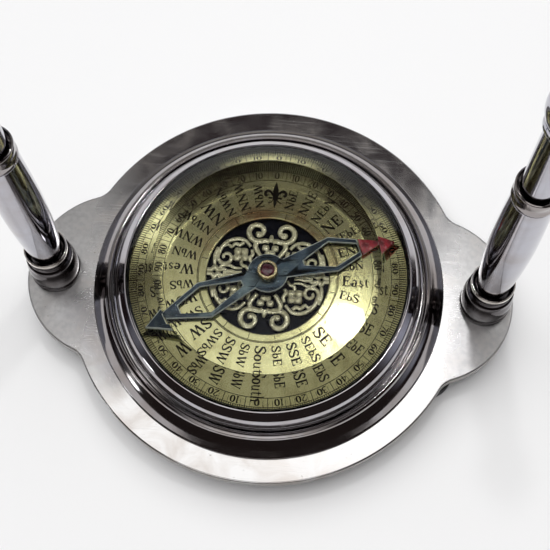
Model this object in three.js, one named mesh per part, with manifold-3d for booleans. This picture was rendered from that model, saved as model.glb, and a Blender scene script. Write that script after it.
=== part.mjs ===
// Table-top binnacle compass: a lobed plate on four feet carries a flat bowl with a bevelled
// crystal, a dial with a fretted rosette, a needle on a pivot, and two turned columns.
// Millimetres, +Z up, north of the dial along +Y, columns on the X axis, feet on Z = 0.
import * as THREE from "three";
import { mergeVertices } from "three/addons/utils/BufferGeometryUtils.js";
import ManifoldModule from "manifold-3d";

const wasm = await ManifoldModule();
wasm.setup();
const { Manifold, Mesh: ManifoldMesh } = wasm;

// ---- driving dimensions ----
const GAP = 0.3; // clearance left between pieces that touch
const CHORD = 48; // segments round a large ring
const ROUND = 20; // segments round a column
const SMALL = 12; // segments round a small fixing

const PLATE_RADIUS = 50;
const PLATE_BOTTOM = 5;
const PLATE_TOP = 8;
const PLATE_EDGE = 0.6;
const LOBE_X = 39.4;
const LOBE_RADIUS = 22.3;
const NECK_RADIUS = 6;

const COLUMN_X = 54.5;
const STUD_RADIUS = 1.5;
const STUD_HOLE = 1.9;

const RING_BORE = 38.7; // inside of the outer bezel ring
const RING_FOOT = 44.2;
const CROWN_OUTER = 38.4; // outside of the crown ring that holds the crystal
const BOWL_RADIUS = 33.2; // inside wall of the bowl
const SEAT_RADIUS = 35;
const GLASS_RADIUS = 34.7;
const GLASS_FLAT = 27.7;

const DIAL_TOP = 4; // these heights are above the plate's top face
const DIAL_UNDER = 2.8;
const SEAT_Z = 7;
const GLASS_UNDER = 8.3;
const GLASS_EDGE = 9.5;
const GLASS_TOP = 15.1;
const CROWN_RIM = 9.3;

const DIAL_RADIUS = 32.9;
const DIAL_BORE = 17.3;
const FRET_OUTER = 17;
const FRET_INNER = 15.4;
const FRET_BAR = 0.9;
const FRET_UNDER = 2.9;

const NEEDLE_UNDER = 5.1;
const NEEDLE_THICK = 0.5;
const NEEDLE_TIP = 29.6;
const NEEDLE_ELBOW = 17; // where each arm turns in towards the tip, from the pivot
const NEEDLE_ARM = 1.35;
const WINDOW_END = 23.4; // the opening in each half ends here
const TIP_HALF = 0.15;
const HUB_RADIUS = 5.1;
const HUB_BORE = 1.4;
const CAP_RADIUS = 2.6;
const CAP_TOP = 8;
const JEWEL_RADIUS = 1.65;
const RED_START = 24; // where the red tip begins, from the pivot
// Each half's bearing is clockwise from the dial's north as the needle lies at rest. Its arms stand
// left and right of it, seen from the pivot, and its opening starts at start.
const NORTH_HALF = { bearing: 69, left: 5, right: 4.5, start: 9.4 };
const SOUTH_HALF = { bearing: 241.5, left: 5.2, right: 4.6, start: 6.9 };

const FOOT_RADIUS = 6.5;
const FEET = [[41.5, 16], [-41.5, 16], [-47, -13], [41.2, -17.6]]; // set by eye, so no two match

const RING_SCREW_RADIUS = 41.4; // where the ring's screws sit

// ---- colours ----
const NICKEL = 0xb9b8b4;
const CHROME = 0xd6d7d8;
const BRASS = 0xb7a45c;
const STEEL_BLUE = 0x2b3c4a;
const NAVY = 0x14182a;
const GLASS = 0xdfe8e6;
const RUBBER = 0x1a1a1a;
const RED = 0x8e1426;
const STEEL = 0x8c8f93;

const group = new THREE.Group();
group.name = "binnacle_compass";

// ---- helpers ----
// One closed solid: merged vertices, no collapsed faces, faces turned outward.
function solid(geometry) {
  geometry.deleteAttribute("normal");
  geometry.deleteAttribute("uv");
  const merged = mergeVertices(geometry, 1e-4);
  const position = merged.getAttribute("position");
  const source = merged.getIndex().array;
  const faces = [];
  const a = new THREE.Vector3();
  const b = new THREE.Vector3();
  const c = new THREE.Vector3();
  let volume = 0;
  for (let i = 0; i < source.length; i += 3) {
    const [p, q, r] = [source[i], source[i + 1], source[i + 2]];
    if (p === q || q === r || p === r) {
      continue;
    }
    faces.push([p, q, r]);
    a.fromBufferAttribute(position, p);
    b.fromBufferAttribute(position, q);
    c.fromBufferAttribute(position, r);
    volume += a.dot(b.cross(c));
  }
  const index = faces.flatMap(([p, q, r]) => (volume < 0 ? [p, r, q] : [p, q, r]));
  merged.setIndex(index);
  merged.computeVertexNormals();
  return merged;
}

// A turned piece from [radius, height] pairs; a ring's profile closes on itself.
function turned(profile, segments, ring = false) {
  const pairs = ring ? [...profile, profile[0]] : profile;
  const points = pairs.map(([radius, z]) => new THREE.Vector2(radius, z));
  const geometry = new THREE.LatheGeometry(points, segments);
  geometry.rotateX(Math.PI / 2);
  return solid(geometry);
}

function toManifold(geometry) {
  const position = geometry.getAttribute("position");
  const mesh = new ManifoldMesh({
    numProp: 3,
    vertProperties: new Float32Array(position.array),
    triVerts: new Uint32Array(geometry.getIndex().array),
  });
  mesh.merge();
  return new Manifold(mesh);
}

function fromManifold(body) {
  const mesh = body.getMesh();
  const geometry = new THREE.BufferGeometry();
  geometry.setAttribute("position", new THREE.BufferAttribute(mesh.vertProperties, 3));
  geometry.setIndex(new THREE.BufferAttribute(mesh.triVerts, 1));
  return solid(geometry);
}

function rod(radius, low, high, x, y, segments) {
  const geometry = turned([[0, low], [radius, low], [radius, high], [0, high]], segments);
  return geometry.translate(x, y, 0);
}

function extruded(shape, low, high, curveSegments = 8) {
  const options = { depth: high - low, bevelEnabled: false, curveSegments };
  const geometry = new THREE.ExtrudeGeometry(shape, options);
  return solid(geometry.translate(0, 0, low));
}

function circlePath(x, y, radius) {
  const path = new THREE.Path();
  path.absarc(x, y, radius, 0, 2 * Math.PI, true);
  return path;
}

function add(name, geometry, color, x = 0, y = 0, z = 0) {
  const material = new THREE.MeshStandardMaterial({ color, metalness: 0.6, roughness: 0.4 });
  const mesh = new THREE.Mesh(geometry, material);
  mesh.name = name;
  mesh.position.set(x, y, z);
  group.add(mesh);
}

function polar(radius, degrees) {
  const angle = THREE.MathUtils.degToRad(degrees);
  return [radius * Math.cos(angle), radius * Math.sin(angle)];
}

// ---- base plate: a disc joined to a lobe on each side by hollow necks ----
function plateOutline() {
  const reach = PLATE_RADIUS + NECK_RADIUS;
  const side = LOBE_RADIUS + NECK_RADIUS;
  const neckX = (reach ** 2 - side ** 2 + LOBE_X ** 2) / (2 * LOBE_X);
  const neckY = Math.sqrt(reach ** 2 - neckX ** 2);
  const discAngle = Math.atan2(neckY, neckX);
  const lobeAngle = Math.atan2(neckY, neckX - LOBE_X);
  const points = [];
  const arc = (cx, cy, radius, from, to, steps) => {
    for (let i = 0; i < steps; i += 1) {
      const angle = from + ((to - from) * i) / steps;
      points.push(new THREE.Vector2(cx + radius * Math.cos(angle), cy + radius * Math.sin(angle)));
    }
  };
  for (const turn of [0, Math.PI]) {
    const flip = turn === 0 ? 1 : -1;
    const nx = flip * neckX;
    const ny = flip * neckY;
    arc(flip * LOBE_X, 0, LOBE_RADIUS, turn - lobeAngle, turn + lobeAngle, 18);
    arc(nx, ny, NECK_RADIUS, turn + Math.PI + lobeAngle, turn + Math.PI + discAngle, 4);
    arc(0, 0, PLATE_RADIUS, turn + discAngle, turn + Math.PI - discAngle, 24);
    arc(-nx, ny, NECK_RADIUS, turn - discAngle, turn - lobeAngle, 4);
  }
  return points;
}

const plateShape = new THREE.Shape(plateOutline());
const columnSides = [["left", -1], ["right", 1]];
for (const [, side] of columnSides) {
  plateShape.holes.push(circlePath(side * COLUMN_X, 0, STUD_HOLE));
}
plateShape.holes.push(circlePath(0, 0, STUD_HOLE));
const ringScrewAngles = [45, 135, 225, 315];
for (const angle of ringScrewAngles) {
  plateShape.holes.push(circlePath(...polar(RING_SCREW_RADIUS, angle), 1.4));
}
const plateBody = new THREE.ExtrudeGeometry(plateShape, {
  depth: PLATE_TOP - PLATE_BOTTOM - 2 * PLATE_EDGE,
  bevelThickness: PLATE_EDGE,
  bevelSize: PLATE_EDGE,
  bevelOffset: -PLATE_EDGE,
  bevelSegments: 1,
  curveSegments: 3,
});
plateBody.translate(0, 0, PLATE_BOTTOM + PLATE_EDGE);
let plate = toManifold(solid(plateBody));
for (const [x, y] of FEET) {
  const hole = rod(1.5, PLATE_BOTTOM - 1, PLATE_BOTTOM + 2, x, y, SMALL);
  plate = plate.subtract(toManifold(hole));
}
add("base_plate", fromManifold(plate), NICKEL);

// ---- feet: rubber pads, each with a screw sunk in its underside ----
FEET.forEach(([x, y], i) => {
  const pad = [
    [1.6, 2.6], [2.8, 2.6], [2.8, 0], [FOOT_RADIUS - 0.6, 0], [FOOT_RADIUS - 0.1, 0.5],
    [FOOT_RADIUS, PLATE_BOTTOM - GAP - 0.4], [FOOT_RADIUS - 0.4, PLATE_BOTTOM - GAP],
    [1.6, PLATE_BOTTOM - GAP],
  ];
  const screw = [
    [0, 0.8], [2, 0.8], [2.4, 1.2], [2.4, 2.3], [1.2, 2.3], [1.2, PLATE_BOTTOM + 1.7],
    [0, PLATE_BOTTOM + 1.7],
  ];
  add(`foot_${i + 1}`, turned(pad, 16, true), RUBBER, x, y);
  add(`foot_screw_${i + 1}`, turned(screw, SMALL), STEEL, x, y);
});

// ---- bezel: a stepped outer ring, a bead in its groove, and a crown ring for the crystal ----
const outerRing = [
  [RING_BORE, GAP], [RING_FOOT, GAP], [RING_FOOT, 0.7], [43.95, 0.9], [42.2, 2.95], [40.65, 4.3],
  [40.4, 4.75], [39.75, 4.9], [39.4, 4.6], [39.4, 3], [RING_BORE, 3],
];
let ringBody = toManifold(turned(outerRing, CHORD, true));
for (const angle of ringScrewAngles) {
  const [x, y] = polar(RING_SCREW_RADIUS, angle);
  ringBody = ringBody.subtract(toManifold(rod(1.4, GAP - 1, 2.1, x, y, SMALL)));
}
add("bezel_outer_ring", fromManifold(ringBody), CHROME, 0, 0, PLATE_TOP);
ringScrewAngles.forEach((angle, i) => {
  const screw = [
    [0, -1.9], [1.9, -1.9], [2.3, -1.5], [2.3, -GAP], [1.1, -GAP], [1.1, 4.8], [0, 4.8],
  ];
  const [x, y] = polar(RING_SCREW_RADIUS, angle);
  add(`ring_screw_${i + 1}`, turned(screw, SMALL), STEEL, x, y, PLATE_BOTTOM);
});

const grooveBead = [[38.75, GAP + 3], [39.1, GAP + 3], [39.1, 4], [38.9, 4.3], [38.75, 4]];
add("groove_bead", turned(grooveBead, CHORD, true), CHROME, 0, 0, PLATE_TOP);

const crownRing = [
  [BOWL_RADIUS, GAP], [CROWN_OUTER, GAP], [CROWN_OUTER, 5.4], [38.1, 5.6], [37.95, 6], [37.2, 7.7],
  [35.4, CROWN_RIM], [SEAT_RADIUS, CROWN_RIM], [SEAT_RADIUS, SEAT_Z], [BOWL_RADIUS, SEAT_Z],
];
add("bezel_crown_ring", turned(crownRing, CHORD, true), CHROME, 0, 0, PLATE_TOP);

const gasket = [
  [BOWL_RADIUS + GAP, SEAT_Z + GAP], [GLASS_RADIUS, SEAT_Z + GAP],
  [GLASS_RADIUS, GLASS_UNDER - GAP], [BOWL_RADIUS + GAP, GLASS_UNDER - GAP],
];
add("glass_gasket", turned(gasket, CHORD, true), RUBBER, 0, 0, PLATE_TOP);

const crystal = [
  [0, GLASS_UNDER], [GLASS_RADIUS, GLASS_UNDER], [GLASS_RADIUS, GLASS_EDGE],
  [GLASS_FLAT, GLASS_TOP], [0, GLASS_TOP],
];
add("crystal", turned(crystal, CHORD), GLASS, 0, 0, PLATE_TOP);

// ---- bowl floor, dial, rosette ----
const floorProfile = [[STUD_HOLE, GAP], [DIAL_RADIUS, GAP], [DIAL_RADIUS, 1.9], [STUD_HOLE, 1.9]];
add("bowl_floor", turned(floorProfile, CHORD, true), BRASS, 0, 0, PLATE_TOP);

const dial = [
  [DIAL_BORE, DIAL_UNDER], [DIAL_RADIUS, DIAL_UNDER], [DIAL_RADIUS, DIAL_TOP],
  [DIAL_BORE, DIAL_TOP],
];
add("dial_plate", turned(dial, CHORD, true), BRASS, 0, 0, PLATE_TOP);

const backing = [[STUD_HOLE, 2.2], [FRET_OUTER, 2.2], [FRET_OUTER, 2.6], [STUD_HOLE, 2.6]];
add("rosette_backing", turned(backing, 36, true), NAVY, 0, 0, PLATE_TOP);

// A flat strap of constant width along a line of points.
function strap(points, width) {
  const left = [];
  const right = [];
  points.forEach(([x, y], i) => {
    const [ax, ay] = points[Math.max(i - 1, 0)];
    const [bx, by] = points[Math.min(i + 1, points.length - 1)];
    const length = Math.hypot(bx - ax, by - ay);
    const nx = (-(by - ay) / length) * (width / 2);
    const ny = ((bx - ax) / length) * (width / 2);
    left.push(new THREE.Vector2(x + nx, y + ny));
    right.unshift(new THREE.Vector2(x - nx, y - ny));
  });
  return new THREE.Shape([...left, ...right]);
}

function arcPoints(cx, cy, radius, from, to, steps) {
  const points = [];
  for (let i = 0; i <= steps; i += 1) {
    const [x, y] = polar(radius, from + ((to - from) * i) / steps);
    points.push([cx + x, cy + y]);
  }
  return points;
}

// One quarter of the fretwork, east and north of the pivot.
const fretStraps = [
  [[0, 10], [2, 9.8], ...arcPoints(3.75, 12.3, 2.3, -85, 215, 10)],
  [[0, 10.2], [2.6, 9.6], [3.8, 8.4], [3.5, 6.6], [2.4, 4]],
  [[14.2, 0.2], [13.3, 3], [13.3, 5.2], [12.5, 7.6], [10.7, 9.3], [8.2, 9.8], [5.9, 8.8],
    [4.7, 7], [3.4, 3.9]],
  [[13.3, 2.2], ...arcPoints(11.4, 4, 1.2, -60, 200, 7)],
  [[11, 0.2], [9.4, 2], [7.7, 4.6]],
  [[0, 10.4], [0, 7.9], [1.4, 7.9]],
];
const fretDiscs = [[1.42, 7.9, 1.2], [7.7, 5.8, 0.95], [6.9, 4.5, 0.95], [8.6, 4.5, 0.95]];
const fretLow = FRET_UNDER;
const fretHigh = DIAL_TOP;
const fretPieces = [];
for (const [mx, my] of [[1, 1], [-1, 1], [-1, -1], [1, -1]]) {
  for (const points of fretStraps) {
    const placed = points.map(([x, y]) => [mx * x, my * y]);
    fretPieces.push(toManifold(extruded(strap(placed, FRET_BAR), fretLow, fretHigh)));
  }
  for (const [x, y, radius] of fretDiscs) {
    fretPieces.push(toManifold(rod(radius, fretLow, fretHigh, mx * x, my * y, 10)));
  }
}
for (const side of [-1, 1]) {
  const bar = strap([[side * 3.6, 0], [side * 16, 0]], FRET_BAR + 0.2);
  fretPieces.push(toManifold(extruded(bar, fretLow, fretHigh)));
}
const fretHub = [[2.9, fretLow], [4.6, fretLow], [4.6, fretHigh], [2.9, fretHigh]];
fretPieces.push(toManifold(turned(fretHub, 24, true)));
const fretRim = [
  [FRET_INNER, fretLow], [FRET_OUTER, fretLow], [FRET_OUTER, fretHigh], [FRET_INNER, fretHigh],
];
fretPieces.push(toManifold(turned(fretRim, 36, true)));
let fret = fretPieces[0];
for (const piece of fretPieces.slice(1)) {
  fret = fret.add(piece);
}
add("rosette_fret", fromManifold(fret.simplify(0.02)), BRASS, 0, 0, PLATE_TOP);

// ---- pivot: a post through the plate, held by a washer and a nut ----
const post = [
  [0, -6.4], [STUD_RADIUS, -6.4], [STUD_RADIUS, 2.9], [2.5, 2.9], [2.5, 3.4], [1, 3.8], [0.7, 6],
  [0.2, 6.4], [0, 6.4],
];
add("pivot_post", turned(post, SMALL), STEEL, 0, 0, PLATE_TOP);

function washer(low) {
  const outer = STUD_RADIUS * 2.4;
  const inner = STUD_RADIUS + GAP;
  return turned([[inner, low], [outer, low], [outer, low + 0.5], [inner, low + 0.5]], 16, true);
}

function nut(low, high) {
  const corners = [0, 60, 120, 180, 240, 300].map((a) => new THREE.Vector2(...polar(3.1, a)));
  const shape = new THREE.Shape(corners);
  shape.holes.push(circlePath(0, 0, STUD_RADIUS + GAP));
  return extruded(shape, low, high, 4);
}

add("pivot_washer", washer(PLATE_BOTTOM - GAP - 0.5), STEEL);
add("pivot_nut", nut(2, 3.9), STEEL);

// ---- needle: two open arms, a red north tip, a brass cap with a jewel ----
// The half width of an arm's outer edge at a distance along the needle, past its elbow.
function outerEdge(spread, along) {
  const part = (along - NEEDLE_ELBOW) / (NEEDLE_TIP - NEEDLE_ELBOW);
  return spread + (TIP_HALF - spread) * part;
}

function needleHalf({ left, right, start }, end) {
  const hubX = 4.2;
  const hubY = 2.5;
  const shape = new THREE.Shape([
    new THREE.Vector2(hubX, -hubY),
    new THREE.Vector2(NEEDLE_ELBOW, -right),
    new THREE.Vector2(end, -outerEdge(right, end)),
    new THREE.Vector2(end, outerEdge(left, end)),
    new THREE.Vector2(NEEDLE_ELBOW, left),
    new THREE.Vector2(hubX, hubY),
  ]);
  const inLeft = outerEdge(left, WINDOW_END) - NEEDLE_ARM;
  const inRight = outerEdge(right, WINDOW_END) - NEEDLE_ARM;
  shape.holes.push(new THREE.Path([
    new THREE.Vector2(start, 0.6),
    new THREE.Vector2(NEEDLE_ELBOW - 0.3, left - NEEDLE_ARM),
    new THREE.Vector2(WINDOW_END, inLeft),
    new THREE.Vector2(WINDOW_END, -inRight),
    new THREE.Vector2(NEEDLE_ELBOW - 0.3, NEEDLE_ARM - right),
    new THREE.Vector2(start, -0.6),
  ]));
  return toManifold(extruded(shape, NEEDLE_UNDER, NEEDLE_UNDER + NEEDLE_THICK));
}

const needleTop = NEEDLE_UNDER + NEEDLE_THICK;
const northHalf = needleHalf(NORTH_HALF, RED_START - GAP);
const southHalf = needleHalf(SOUTH_HALF, NEEDLE_TIP);
const hub = toManifold(rod(HUB_RADIUS, NEEDLE_UNDER, needleTop, 0, 0, 28));
const hubHole = toManifold(rod(HUB_BORE, NEEDLE_UNDER - 1, needleTop + 1, 0, 0, SMALL));
const blade = hub
  .add(northHalf.rotate([0, 0, 90 - NORTH_HALF.bearing]))
  .add(southHalf.rotate([0, 0, 90 - SOUTH_HALF.bearing]))
  .subtract(hubHole);
add("needle_blade", fromManifold(blade), STEEL_BLUE, 0, 0, PLATE_TOP);

const redShape = new THREE.Shape([
  new THREE.Vector2(RED_START, -outerEdge(NORTH_HALF.right, RED_START)),
  new THREE.Vector2(NEEDLE_TIP, -TIP_HALF),
  new THREE.Vector2(NEEDLE_TIP, TIP_HALF),
  new THREE.Vector2(RED_START, outerEdge(NORTH_HALF.left, RED_START)),
]);
const redTurn = THREE.MathUtils.degToRad(90 - NORTH_HALF.bearing);
const redTip = extruded(redShape, NEEDLE_UNDER, needleTop).rotateZ(redTurn);
add("needle_red_tip", redTip, RED, 0, 0, PLATE_TOP);

const capProfile = [
  [0, 6.8], [1.2, 6.8], [1.2, needleTop + GAP], [CAP_RADIUS, needleTop + GAP],
  [CAP_RADIUS, CAP_TOP - 0.3], [CAP_RADIUS - 0.2, CAP_TOP], [JEWEL_RADIUS + GAP, CAP_TOP],
  [JEWEL_RADIUS + GAP, 7.2], [0, 7.2],
];
add("needle_cap", turned(capProfile, 20), BRASS, 0, 0, PLATE_TOP);
const jewel = [[0, 7.5], [JEWEL_RADIUS, 7.5], [JEWEL_RADIUS, 7.8], [1.1, CAP_TOP], [0, CAP_TOP]];
add("needle_jewel", turned(jewel, 16), RED, 0, 0, PLATE_TOP);

// ---- columns: turned pieces stacked on a tie rod that is nutted under the plate ----
const ferrule = [
  [STUD_HOLE, GAP], [6.3, GAP], [6.35, 1], [6.1, 1.4], [6.3, 3.5], [6.15, 6.4], [5.7, 8.6],
  [5.75, 9.6], [5.1, 10.2], [4.95, 11.2], [5.35, 13], [5.35, 14], [4.9, 14.2], [4.6, 13],
  [4.35, 11.6], [STUD_HOLE, 11.6],
];
const lowerShaft = [
  [STUD_HOLE, 11.9], [3.6, 11.9], [3.95, 12.6], [4.15, 15], [4.6, 22], [5, 30], [5.2, 39],
  [5.05, 49], [4.75, 59], [4.7, 62.3], [STUD_HOLE, 62.3],
];
const midRing = [
  [STUD_HOLE, 62.6], [4.75, 62.6], [4.95, 63.2], [4.75, 63.9], [4.65, 64.6], [4.9, 66.4],
  [4.9, 67.4], [4.5, 67.6], [4.2, 66.4], [4.15, 64.8], [STUD_HOLE, 64.8],
];
const upperShaft = [
  [STUD_HOLE, 65.1], [3.7, 65.1], [3.85, 66], [3.85, 78], [3.8, 90.2], [STUD_HOLE, 90.2],
];
const upperRing = [
  [STUD_HOLE, 90.5], [4.2, 90.5], [4.55, 91.1], [4.55, 92.3], [4.2, 92.9], [STUD_HOLE, 92.9],
];
const finial = [
  [STUD_HOLE, 93.2], [4.3, 93.2], [4.9, 94.6], [5.35, 97.2], [5.2, 100], [4.3, 102.8],
  [2.9, 105], [2.1, 106.4], [2.5, 107.4], [3, 109], [2.6, 110.9], [1.5, 112.2], [0, 112.7],
  [0, 101], [STUD_HOLE, 101],
];
const columnStack = {
  ferrule,
  lower_shaft: lowerShaft,
  mid_ring: midRing,
  upper_shaft: upperShaft,
  upper_ring: upperRing,
  finial,
};
const tieRod = [[0, -6.8], [STUD_RADIUS, -6.8], [STUD_RADIUS, 100.7], [0, 100.7]];
for (const [side, sign] of columnSides) {
  const x = sign * COLUMN_X;
  for (const [piece, profile] of Object.entries(columnStack)) {
    add(`${side}_${piece}`, turned(profile, ROUND, true), CHROME, x, 0, PLATE_TOP);
  }
  add(`${side}_tie_rod`, turned(tieRod, SMALL), STEEL, x, 0, PLATE_TOP);
  add(`${side}_washer`, washer(PLATE_BOTTOM - GAP - 0.5), STEEL, x, 0);
  add(`${side}_nut`, nut(2, 3.9), STEEL, x, 0);
}

export default group;
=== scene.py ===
"""The looks of a table-top binnacle compass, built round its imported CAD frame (Blender 4.5)."""

import math

import bpy
from mathutils import Matrix, Vector


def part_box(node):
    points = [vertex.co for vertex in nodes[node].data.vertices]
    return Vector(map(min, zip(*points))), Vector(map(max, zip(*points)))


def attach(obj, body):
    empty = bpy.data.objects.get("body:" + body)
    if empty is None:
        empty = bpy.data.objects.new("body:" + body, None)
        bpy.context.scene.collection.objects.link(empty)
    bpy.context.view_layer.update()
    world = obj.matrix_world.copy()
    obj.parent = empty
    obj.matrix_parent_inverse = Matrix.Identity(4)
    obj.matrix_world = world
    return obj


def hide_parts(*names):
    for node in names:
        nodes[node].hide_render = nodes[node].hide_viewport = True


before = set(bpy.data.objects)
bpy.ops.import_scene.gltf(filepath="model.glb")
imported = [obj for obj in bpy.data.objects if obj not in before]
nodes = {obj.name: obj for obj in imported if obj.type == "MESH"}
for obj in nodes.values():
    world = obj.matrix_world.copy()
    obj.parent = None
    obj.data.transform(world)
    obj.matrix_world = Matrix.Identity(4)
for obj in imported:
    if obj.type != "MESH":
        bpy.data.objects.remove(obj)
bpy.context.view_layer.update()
scene = bpy.context.scene

MM = 0.001  # everything below is written in millimetres and scaled once, where meshes are made
MERGE_DISTANCE = 0.001  # CAD vertices nearer than this are the same corner
SAME_SPOT = 1e-5  # profile points nearer than this are one point
INK_GAP = 0.02  # how far the print floats above the dial
EARS = (36, 50)  # how far from the middle the ears' satin finish sets in and is complete
GLASS_IOR = 1.75
SHEEN_IOR = 1.22


def low(node):
    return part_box(node)[0] / MM


def high(node):
    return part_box(node)[1] / MM


PLATE_TOP = high("base_plate").z
PLATE_UNDER = low("base_plate").z
DIAL_TOP = high("dial_plate").z
DIAL_RADIUS = high("dial_plate").x
BOWL_RADIUS = DIAL_RADIUS + 0.3  # the inside of the crown ring, which walls the bowl
COLUMN_X = (low("right_tie_rod").x + high("right_tie_rod").x) / 2


# ---- node trees ----
class Wiring:
    """A node tree under construction. Inputs take either plain values or other nodes' output sockets."""

    def __init__(self, tree):
        self.tree = tree

    def node(self, kind, **settings):
        made = self.tree.nodes.new(kind)
        for key, value in settings.items():
            setattr(made, key, value)
        return made

    def feed(self, socket, value):
        if isinstance(value, bpy.types.NodeSocket):
            self.tree.links.new(value, socket)
        else:
            socket.default_value = value

    def split(self, vector):
        """The x, y and z of a vector."""
        parts = self.node("ShaderNodeSeparateXYZ")
        self.feed(parts.inputs["Vector"], vector)
        return [parts.outputs[axis] for axis in "XYZ"]

    def range(self, value, start, end, to_start=0.0, to_end=1.0, interpolation="LINEAR"):
        """Maps start..end to to_start..to_end, and stays within those."""
        remap = self.node("ShaderNodeMapRange", interpolation_type=interpolation, clamp=True)
        names = ("Value", "From Min", "From Max", "To Min", "To Max")
        for name, number in zip(names, (value, start, end, to_start, to_end)):
            self.feed(remap.inputs[name], number)
        return remap.outputs["Result"]

    def ease(self, value, start, end):
        """0 up to start, rising smoothly to 1 at end."""
        return self.range(value, start, end, interpolation="SMOOTHSTEP")

    def fade(self, value, start, end):
        """1 up to start, falling smoothly to 0 at end."""
        return self.range(value, start, end, 1.0, 0.0, interpolation="SMOOTHSTEP")

    def math(self, operation, a, b=0.0):
        made = self.node("ShaderNodeMath", operation=operation)
        for socket, value in zip(made.inputs, (a, b)):
            self.feed(socket, value)
        return made.outputs["Value"]

    def product(self, *factors):
        total = factors[0]
        for factor in factors[1:]:
            total = self.math("MULTIPLY", total, factor)
        return total

    def mix(self, factor, a, b):
        """Color a where factor is 0, color b where it is 1. Each is a socket or (red, green, blue)."""
        made = self.node("ShaderNodeMix", data_type="RGBA")
        self.feed(made.inputs["Factor"], factor)
        for socket, value in zip((made.inputs[6], made.inputs[7]), (a, b)):
            self.feed(socket, value if isinstance(value, bpy.types.NodeSocket) else (*value, 1))
        return made.outputs[2]


# ---- materials ----
class Paint(Wiring):
    """A material under construction. Its textures are laid out in millimetres."""

    def __init__(self, name, color, metallic, roughness):
        self.material = bpy.data.materials.new(name)
        self.material.use_nodes = True
        super().__init__(self.material.node_tree)
        self.shader = self.tree.nodes["Principled BSDF"]
        self.set("Base Color", (*color, 1))
        self.set("Metallic", metallic)
        self.set("Roughness", roughness)
        self.place = self.node("ShaderNodeTexCoord").outputs["Object"]

    def set(self, name, value):
        """Gives one of the shader's inputs a value or a socket to read."""
        self.feed(self.shader.inputs[name], value)

    def coordinates(self, stretch=(1, 1, 1), turn=0.0):
        mapping = self.node("ShaderNodeMapping")
        mapping.inputs["Scale"].default_value = [s / MM for s in stretch]
        mapping.inputs["Rotation"].default_value = (0, 0, turn)
        self.feed(mapping.inputs["Vector"], self.place)
        return mapping.outputs["Vector"]

    def noise(self, size, detail=4.0, stretch=(1, 1, 1), turn=0.0, distortion=0.0):
        """Soft noise whose features are about size millimetres across."""
        texture = self.node("ShaderNodeTexNoise")
        texture.inputs["Scale"].default_value = 1 / size
        texture.inputs["Detail"].default_value = detail
        texture.inputs["Distortion"].default_value = distortion
        self.feed(texture.inputs["Vector"], self.coordinates(stretch, turn))
        return texture.outputs["Fac"]

    def scratches(self, turns, wide=0.3, long=60.0, threshold=0.66):
        """Hairlines along each of the given directions, as a 0 to 1 value."""
        total = 0.0
        for turn in turns:
            line = self.noise(wide, detail=2, stretch=(1 / long, 1, 1), turn=turn, distortion=0.3)
            total = self.math("MAXIMUM", self.range(line, threshold, threshold + 0.06), total)
        return total

    def bump(self, height, strength=0.2, distance=0.02):
        made = self.node("ShaderNodeBump")
        made.inputs["Strength"].default_value = strength
        made.inputs["Distance"].default_value = distance * MM
        self.feed(made.inputs["Height"], height)
        self.set("Normal", made.outputs["Normal"])


def darker(color, share):
    return [channel * share for channel in color]


def plated(name, color, roughness, smudge, scratch_turns, tarnish, ears=0.0, rim=None):
    """Nickel or chrome plate with smudges, hairlines and brown specks. smudge is how much rougher the
    smudges are, and tarnish how strong the specks are. ears is how much rougher the plate's two ears
    are, and rim the two heights between which a band is painted bright as a highlight."""
    paint = Paint(name, color, 1.0, roughness)
    x, _, z = paint.split(paint.coordinates())
    blotches = paint.range(paint.noise(9, detail=6, distortion=0.6), 0.4, 0.7)
    specks = paint.range(paint.noise(0.6, detail=3), 0.70, 0.74)
    patches = paint.range(paint.noise(5, detail=5), 0.48, 0.68)
    specks = paint.product(specks, patches)
    lines = paint.scratches(scratch_turns)
    dirt_and_painted_light = paint.mix(blotches, color, [c * shade for c, shade in zip(color, (0.86, 0.81, 0.77))])
    on_ears = paint.range(paint.math("ABSOLUTE", x), *EARS)
    if ears:
        grain = paint.range(paint.noise(1.3, detail=5), 0.4, 0.65, 0.55, 1)
        dirt_and_painted_light = paint.mix(paint.product(on_ears, grain), dirt_and_painted_light, darker(color, 0.72))
    # painted highlight: with rim given, the band between its two heights is painted bright in place of a
    # glint
    if rim:
        lowest, highest = rim
        lightened = paint.product(paint.range(z, lowest, lowest + 0.3), paint.range(z, highest + 0.3, highest))
        dirt_and_painted_light = paint.mix(lightened, dirt_and_painted_light, (0.85, 0.80, 0.74))
    stains_and_painted_light = paint.mix(paint.product(specks, tarnish), dirt_and_painted_light, (0.16, 0.11, 0.06))
    paint.set("Base Color", stains_and_painted_light)
    rough = paint.range(blotches, 0, 1, roughness, roughness + smudge)
    if ears:
        rough = paint.math("ADD", rough, paint.product(on_ears, ears))
    rough = paint.math("ADD", rough, paint.product(lines, 0.05))
    paint.set("Roughness", paint.math("ADD", rough, paint.product(specks, 0.3 * tarnish)))
    relief = paint.math("SUBTRACT", paint.noise(14, detail=1), paint.product(lines, 0.05))
    paint.bump(relief, 0.2, 0.05)
    return paint.material


def brass(name, color, dark, roughness, metallic=0.75, patch=7.0):
    """Old lacquered brass with darker mottling and fine grain."""
    paint = Paint(name, color, metallic, roughness)
    mottle = paint.range(paint.noise(patch, detail=8, distortion=0.8), 0.42, 0.68)
    grain = paint.noise(0.35, detail=3)
    toned = paint.mix(mottle, color, dark)
    freckles = paint.range(paint.noise(0.55, detail=2), 0.66, 0.74, 0, 0.6)
    paint.set("Base Color", paint.mix(freckles, toned, darker(dark, 0.5)))
    paint.set("Roughness", paint.range(mottle, 0, 1, roughness, roughness + 0.18))
    paint.bump(grain, 0.35, 0.03)
    return paint.material


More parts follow.
